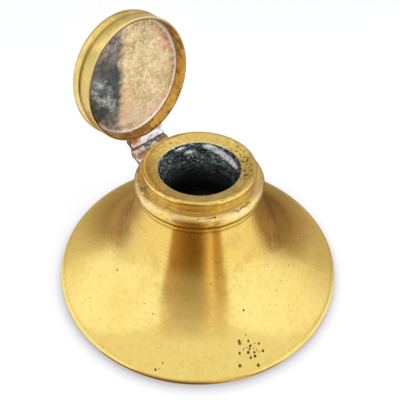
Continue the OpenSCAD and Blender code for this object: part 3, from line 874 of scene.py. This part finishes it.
def makeCrust():
    # dried ink on the pot's wall and up the mouth: a rough lining whose inner side is grown into lumps
    layer = {"outer": 17.95, "inner": 17.45, "bottom": 27, "top": 52.8, "rows": 84, "turns": 300,
             "under": 53.9, "neckRadius": 16.72, "neckTop": 55.3, "neckRows": 6, "neckShare": 0.3,
             "neckEdge": 0.1, "neckBack": 0.06, "innerSide": 0.1, "lumps": [(3.2, 0.9), (0.8, 0.55)]}
    rise = (layer["top"] - layer["bottom"]) / layer["rows"]
    neckRise = (layer["neckTop"] - layer["under"]) / layer["neckRows"]
    neckBack = mouthRadius + layer["neckBack"]
    bend = (layer["inner"] - layer["neckRadius"], layer["under"] - layer["top"])
    outline = [(layer["inner"], layer["bottom"] + rise * i) for i in range(layer["rows"] + 1)]
    outline += arc((layer["inner"], layer["under"]), bend, -90, -180, 4)[1:]
    outline += [(layer["neckRadius"], layer["under"] + neckRise * (i + 1)) for i in range(layer["neckRows"])]
    outline += [(neckBack, layer["neckTop"] + layer["neckEdge"]), (neckBack, layer["under"])]
    outline += [(layer["outer"], layer["under"]), (layer["outer"], layer["bottom"])]
    piece = turnPiece("dried_ink_crust", outline, layer["turns"])
    grown = piece.vertex_groups.new(name="wall")
    for vertex in piece.data.vertices:
        if math.hypot(vertex.co.x, vertex.co.y) < (layer["inner"] + layer["innerSide"]) * mm:
            share = 1 if vertex.co.z < layer["top"] * mm else layer["neckShare"]
            grown.add([vertex.index], share, "REPLACE")
    for size, depth in layer["lumps"]:
        roughen(piece, size, depth, group="wall")
    piece.vertex_groups.clear()
    return piece


def agedCopy(name, node):
    # a worn piece with the frame's own shape: its edges rounded and its faces lumpy
    wear = {"voxel": 0.2, "lumps": [(1.5, 0.30), (0.5, 0.16)]}
    piece = frame["nodes"][node].copy()
    piece.data = piece.data.copy()
    piece.name = name
    piece.parent = None
    for key in list(piece.keys()):
        del piece[key]
    bpy.context.scene.collection.objects.link(piece)
    pick(piece)
    bpy.ops.object.mode_set(mode="EDIT")
    bpy.ops.mesh.select_all(action="SELECT")
    bpy.ops.mesh.remove_doubles(threshold=weldGap)
    bpy.ops.object.mode_set(mode="OBJECT")
    melt(piece, wear["voxel"])
    for size, depth in wear["lumps"]:
        roughen(piece, size, depth)
    return piece


def solderRun(name, drops):
    # overlapping drops, as (place, size), melted into one lump
    run = {"voxel": 0.12, "segments": 20, "rings": 12, "lumps": (0.9, 0.22)}
    bpy.ops.object.select_all(action="DESELECT")
    parts = []
    for place, size in drops:
        bpy.ops.mesh.primitive_uv_sphere_add(segments=run["segments"], ring_count=run["rings"], radius=mm,
                                             location=[v * mm for v in place], scale=size)
        bpy.ops.object.transform_apply(location=True, rotation=True, scale=True)
        parts.append(bpy.context.object)
    for part in parts:
        part.select_set(True)
    bpy.ops.object.join()
    piece = bpy.context.object
    piece.name = name
    melt(piece, run["voxel"])
    roughen(piece, *run["lumps"])
    pick(piece)
    bpy.ops.object.transform_apply(location=True, rotation=True, scale=True)
    return piece


def makeSpill():
    # solder spilt at the left end of the body's leaf
    return solderRun("hinge_solder_spill", [((-9.3, 27.9, 49.5), (0.9, 0.8, 0.7)),
                                            ((-9.2, 26.7, 49.2), (0.7, 0.9, 0.6)),
                                            ((-9.0, 28.8, 49.0), (0.6, 0.7, 0.6))])


def makeGrime():
    # grime in the gap above the two outer knuckles, drop by drop to the left and then to the right
    row = {"start": 3.7, "step": 0.68, "count": 9, "behindPin": 1.4, "abovePin": 1.82, "wander": 0.08,
           "width": 0.6, "depth": 0.66, "heights": (0.5, 0.58)}
    drops = []
    for side in (-1, 1):
        for i in range(row["count"]):
            y = pinPlace.y + row["behindPin"] + random.uniform(-row["wander"], row["wander"])
            place = (side * (row["start"] + row["step"] * i), y, pinPlace.z + row["abovePin"])
            drops.append((place, (row["width"], row["depth"], random.uniform(*row["heights"]))))
    return solderRun("hinge_grime", drops)


def dressPiece(piece, *materials):
    piece.data.materials.clear()
    for material in materials:
        piece.data.materials.append(material)
    return piece


def finishPiece(piece, body, slotName, *replaced):
    pick(piece)
    bpy.ops.object.shade_smooth_by_angle(angle=math.radians(40))
    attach(piece, body)
    if replaced:
        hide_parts(*replaced)


addCamera()
print("camera set")

pitDirt = crustMaterial("pitDirt", 0.0, 0.05, Deep=rgb(0.06, 0.035, 0.012), Middle=rgb(0.15, 0.095, 0.035),
                        Pale=rgb(0.24, 0.16, 0.07), Size=900.0, PaleShare=0.0, Dullness=0.7)
body, flare = makeBody()
dressPiece(body, bodyBrass(), pitDirt)
pitBody(body, flare)
finishPiece(body, "body", "body_brass", "body_shell")
print("body turned and pitted")

collar = dressPiece(makeCollar(), collarBrass(), pitDirt)
ageCollar(collar)
finishPiece(collar, "body", "collar_brass", "neck_collar")
finishPiece(dressPiece(makeLid(), lidBrass()), "lid", "lid_brass", "lid_shell")
finishPiece(dressPiece(makeLining(), liningPatina()), "lid", "lining_metal", "lid_lining")
print("collar, lid and lining turned")

potGlaze = crustMaterial("potGlaze", 0.0, 0.05, Deep=rgb(0.012, 0.012, 0.014), Middle=rgb(0.05, 0.05, 0.055),
                         Pale=rgb(0.16, 0.16, 0.15), Size=420.0, PaleShare=0.03, Dullness=0.35)
finishPiece(dressPiece(makePot(), potGlaze), "body", "pottery", "ink_pot")
finishPiece(dressPiece(makeCrust(), inkCrust()), "body", "pottery")
print("pot and its crust made")

bodyLeaf = dressPiece(agedCopy("hinge_leaf_body", "hinge_body_leaf"), hingeTarnish())
finishPiece(bodyLeaf, "body", "hinge_brass", "hinge_body_leaf")
lidLeaf = dressPiece(agedCopy("hinge_leaf_lid", "hinge_lid_leaf"), hingeSolder())
finishPiece(lidLeaf, "lid", "hinge_solder", "hinge_lid_leaf")
spill = makeSpill()
hingeGrime = crustMaterial("hingeGrime", 0.3, 0.05, Deep=rgb(0.03, 0.04, 0.04), Middle=rgb(0.13, 0.13, 0.11),
                           Pale=rgb(0.62, 0.58, 0.48), Size=480.0, PaleShare=0.03, Dullness=0.4)
finishPiece(dressPiece(makeGrime(), hingeGrime), "body", "hinge_brass")
brightSolder = crustMaterial("brightSolder", 1.0, 0.05, Deep=rgb(0.5, 0.46, 0.42),
                             Middle=rgb(0.86, 0.84, 0.80), Pale=rgb(0.96, 0.95, 0.93), Size=600.0,
                             PaleShare=0.1, Dullness=0.25)
finishPiece(dressPiece(spill, brightSolder), "body", "hinge_solder")
print("hinge leaves worn")

# The nodes that keep their shape: material, metal share, bump, grain size, dullness and three tones
nodeLooks = {
    "hinge_pin": ("pinBrass", 1.0, 0.04, 900.0, 0.3,
        [(0.16, 0.10, 0.05), (0.48, 0.36, 0.2), (0.7, 0.58, 0.38)]),
    "base_weight": ("castIron", 0.6, 0.2, 380.0, 0.55,
        [(0.03, 0.03, 0.032), (0.10, 0.10, 0.11), (0.22, 0.2, 0.18)]),
    "base_plate": ("plateBrass", 1.0, 0.04, 160.0, 0.35,
        [(0.3, 0.19, 0.07), (0.6, 0.43, 0.17), (0.72, 0.55, 0.25)]),
    "base_felt": ("greenFelt", 0.0, 0.3, 1500.0, 0.8,
        [(0.02, 0.06, 0.03), (0.05, 0.13, 0.07), (0.10, 0.2, 0.12)]),
    "pot_cushion": ("brownFelt", 0.0, 0.3, 1500.0, 0.8,
        [(0.12, 0.08, 0.05), (0.25, 0.18, 0.11), (0.36, 0.28, 0.2)]),
    "pot_washer": ("washerLeather", 0.0, 0.2, 700.0, 0.6,
        [(0.06, 0.03, 0.015), (0.16, 0.09, 0.05), (0.26, 0.17, 0.1)]),
}
for node, (name, metallic, bumpDepth, size, dullness, tones) in nodeLooks.items():
    deep, middle, pale = [rgb(*tone) for tone in tones]
    dressPiece(frame["nodes"][node], crustMaterial(name, metallic, bumpDepth, Deep=deep, Middle=middle,
                                                   Pale=pale, Size=size, PaleShare=0.0, Dullness=dullness))
print("hidden pieces and the pin dressed")


# The stage: pale floor, white surroundings, soft boxes, fill lights, and the cards that the metal mirrors

def stagePlace(azimuth, elevation, distance):
    # azimuth 0 is towards the camera, and grows to the right in the picture
    a = math.radians(shot["heading"] + 180 - azimuth)
    e = math.radians(elevation)
    return Vector((math.sin(a) * math.cos(e), math.cos(a) * math.cos(e), math.sin(e))) * distance


def whiteForView(tree, inMetal):
    # how far a ray sees the white surroundings: the camera and glass in full, metal by that share
    rays = shade(tree, "LightPath").outputs
    return most(rays["Is Camera Ray"], times(rays["Is Glossy Ray"], inMetal), rays["Is Transmission Ray"])


def addWorld():
    world = bpy.data.worlds.new("studio")
    bpy.context.scene.world = world
    tree = newTree(world)
    soft = shade(tree, "Background", {"Color": rgb(0.97, 0.98, 1.0), "Strength": 0.7})
    white = shade(tree, "Background", {"Color": rgb(1, 1, 1), "Strength": 1.0})
    mix = shade(tree, "MixShader", {0: whiteForView(tree, 0.8), 1: soft.outputs[0], 2: white.outputs[0]})
    shade(tree, "OutputWorld", {0: mix.outputs[0]})


def addFloor():
    ground = {"radius": 3, "vertices": 96, "drop": 0.2, "shadowReach": 10, "whiteFrom": 300, "whiteTo": 900}
    bpy.ops.mesh.primitive_circle_add(vertices=ground["vertices"], radius=ground["radius"], fill_type="NGON",
                                      location=(0, 0, -ground["drop"] * mm))
    floor = bpy.context.object
    floor.name = "floor"
    material = bpy.data.materials.new("paleFloor")
    tree = newTree(material)
    place = shade(tree, "TexCoord").outputs["Object"]
    radius = measures(place, place)["radius"]
    plain = shade(tree, "BsdfDiffuse", {"Color": rgb(0.8, 0.8, 0.8)})
    shaded = shade(tree, "BsdfDiffuse", {"Color": rgb(0.26, 0.26, 0.27)})
    # the soft contact shadow close to the foot
    near = ramp(times(calc("SUBTRACT", radius, footRadius), 1 / ground["shadowReach"]),
                [(0.0, (0.50, 0.50, 0.51)), (0.12, (0.70, 0.70, 0.705)), (0.35, (0.91, 0.91, 0.915)),
                 (0.6, (0.97, 0.97, 0.975)), (1.0, (1, 1, 1))])
    glow = shade(tree, "Emission", {"Color": near, "Strength": 0.755})
    seen = shade(tree, "AddShader", {0: shaded.outputs[0], 1: glow.outputs[0]})
    # the floor runs out into the white far away
    white = shade(tree, "Emission", {"Color": rgb(1, 1, 1), "Strength": 1.0})
    seen = shade(tree, "MixShader", {0: span(radius, ground["whiteFrom"], ground["whiteTo"]),
                                     1: seen.outputs[0], 2: white.outputs[0]})
    mix = shade(tree, "MixShader", {0: whiteForView(tree, 0.85), 1: plain.outputs[0], 2: seen.outputs[0]})
    shade(tree, "OutputMaterial", {0: mix.outputs[0]})
    floor.data.materials.append(material)


def addSoftBox(name, azimuth, elevation, distance, size, brightness, mirrored=True):
    place = stagePlace(azimuth, elevation, distance)
    bpy.ops.object.light_add(type="AREA", location=place)
    lamp = bpy.context.object
    lamp.name = name
    lamp.rotation_euler = place.to_track_quat("Z", "Y").to_euler()
    lamp.data.shape = "RECTANGLE"
    lamp.data.size, lamp.data.size_y = size
    lamp.data.color = (0.85, 1.05, 1.7) if mirrored else (1.0, 0.98, 0.95)
    lamp.visible_glossy = mirrored
    lamp.data.energy = brightness * math.pi * size[0] * size[1]


def addCard(name, azimuths, near, far, top, edgeFade, tones, cover):
    # a curved card seen only in reflections: it lies on the floor from near to far, then stands to the top.
    # The tones run along it, and the cover from its low edge up
    grid = {"columns": 32, "rows": 24, "bend": 8, "lift": 0.5}
    bpy.ops.mesh.primitive_grid_add(x_subdivisions=grid["columns"], y_subdivisions=grid["rows"], size=1)
    card = bpy.context.object
    card.name = name
    for vertex in card.data.vertices:
        azimuth = azimuths[0] + (azimuths[1] - azimuths[0]) * (vertex.co.x + 0.5)
        row = (vertex.co.y + 0.5) * grid["rows"]
        place = stagePlace(azimuth, 0, near + (far - near) * min(row / grid["bend"], 1))
        place.z = top * max(row - grid["bend"], 0) / (grid["rows"] - grid["bend"]) + grid["lift"] * mm
        vertex.co = place
    card.visible_camera = False
    card.visible_diffuse = False
    card.visible_shadow = False
    material = bpy.data.materials.new(name)
    tree = newTree(material)
    along, up = shade(tree, "SeparateXYZ", {0: shade(tree, "TexCoord").outputs["UV"]}).outputs[:2]
    glow = shade(tree, "Emission", {"Color": ramp(along, tones), "Strength": 1.0})
    clear = shade(tree, "BsdfTransparent")
    solid = times(ramp(up, [(height, (share, share, share)) for height, share in cover]),
                  span(along, 0.0, edgeFade), span(along, 1.0, 1 - edgeFade))
    mix = shade(tree, "MixShader", {0: solid, 1: clear.outputs[0], 2: glow.outputs[0]})
    shade(tree, "OutputMaterial", {0: mix.outputs[0]})
    card.data.materials.append(material)


addWorld()
addFloor()
addSoftBox("softBoxLeft", -80, 27, 0.9, (1.5, 0.95), 0.23)
addSoftBox("softBoxRight", 76, 27, 0.9, (1.5, 0.95), 0.23)
addSoftBox("fillRight", 62, 24, 0.65, (0.5, 0.5), 2.65, mirrored=False)
addSoftBox("fillLeft", -35, 46, 0.65, (0.3, 0.3), 4.6, mirrored=False)
addCard("frontCard", azimuths=(-41, 36), near=0.066, far=0.5, top=0.9, edgeFade=0.06,
        tones=[(0.0, (0.60, 0.42, 0.24)), (0.10, (0.44, 0.27, 0.12)), (0.21, (0.36, 0.19, 0.07)),
               (0.31, (0.24, 0.12, 0.035)), (0.43, (0.19, 0.10, 0.02)), (0.55, (0.215, 0.115, 0.025)),
               (0.65, (0.50, 0.33, 0.16)), (0.74, (1.0, 0.78, 0.54)), (0.83, (0.52, 0.32, 0.12)),
               (0.92, (0.55, 0.36, 0.15)), (1.0, (0.80, 0.6, 0.38))],
        cover=[(0.0, 1.0), (0.33, 0.97), (0.39, 0.73), (0.46, 0.66), (0.56, 0.54), (0.69, 0.41), (0.84, 0.26),
               (0.95, 0.15), (1.0, 0.0)])
addCard("backCard", azimuths=(88, 263), near=0.10, far=0.17, top=0.26, edgeFade=0.17,
        tones=[(0.0, (0.48, 0.37, 0.26)), (0.25, (0.30, 0.20, 0.12)), (0.36, (0.24, 0.15, 0.09)),
               (0.5, (0.34, 0.24, 0.16)), (0.74, (0.27, 0.18, 0.11)), (1.0, (0.55, 0.42, 0.28))],
        cover=[(0.0, 1.0), (0.34, 0.97), (0.42, 0.78), (0.47, 0.49), (0.55, 0.50), (0.65, 0.62), (0.85, 0.42),
               (1.0, 0.0)])
addCard("backMat", azimuths=(76, 274), near=0.066, far=0.14, top=0.003, edgeFade=0.13,
        tones=[(0.0, (0.50, 0.35, 0.19)), (0.2, (0.36, 0.24, 0.12)), (0.34, (0.15, 0.095, 0.045)),
               (0.5, (0.24, 0.16, 0.09)), (0.78, (0.42, 0.29, 0.16)), (1.0, (0.66, 0.50, 0.32))],
        cover=[(0.0, 1.0), (0.9, 1.0)])
bpy.context.scene.view_settings.view_transform = "Standard"
print("stage set")

bpy.context.view_layer.update()
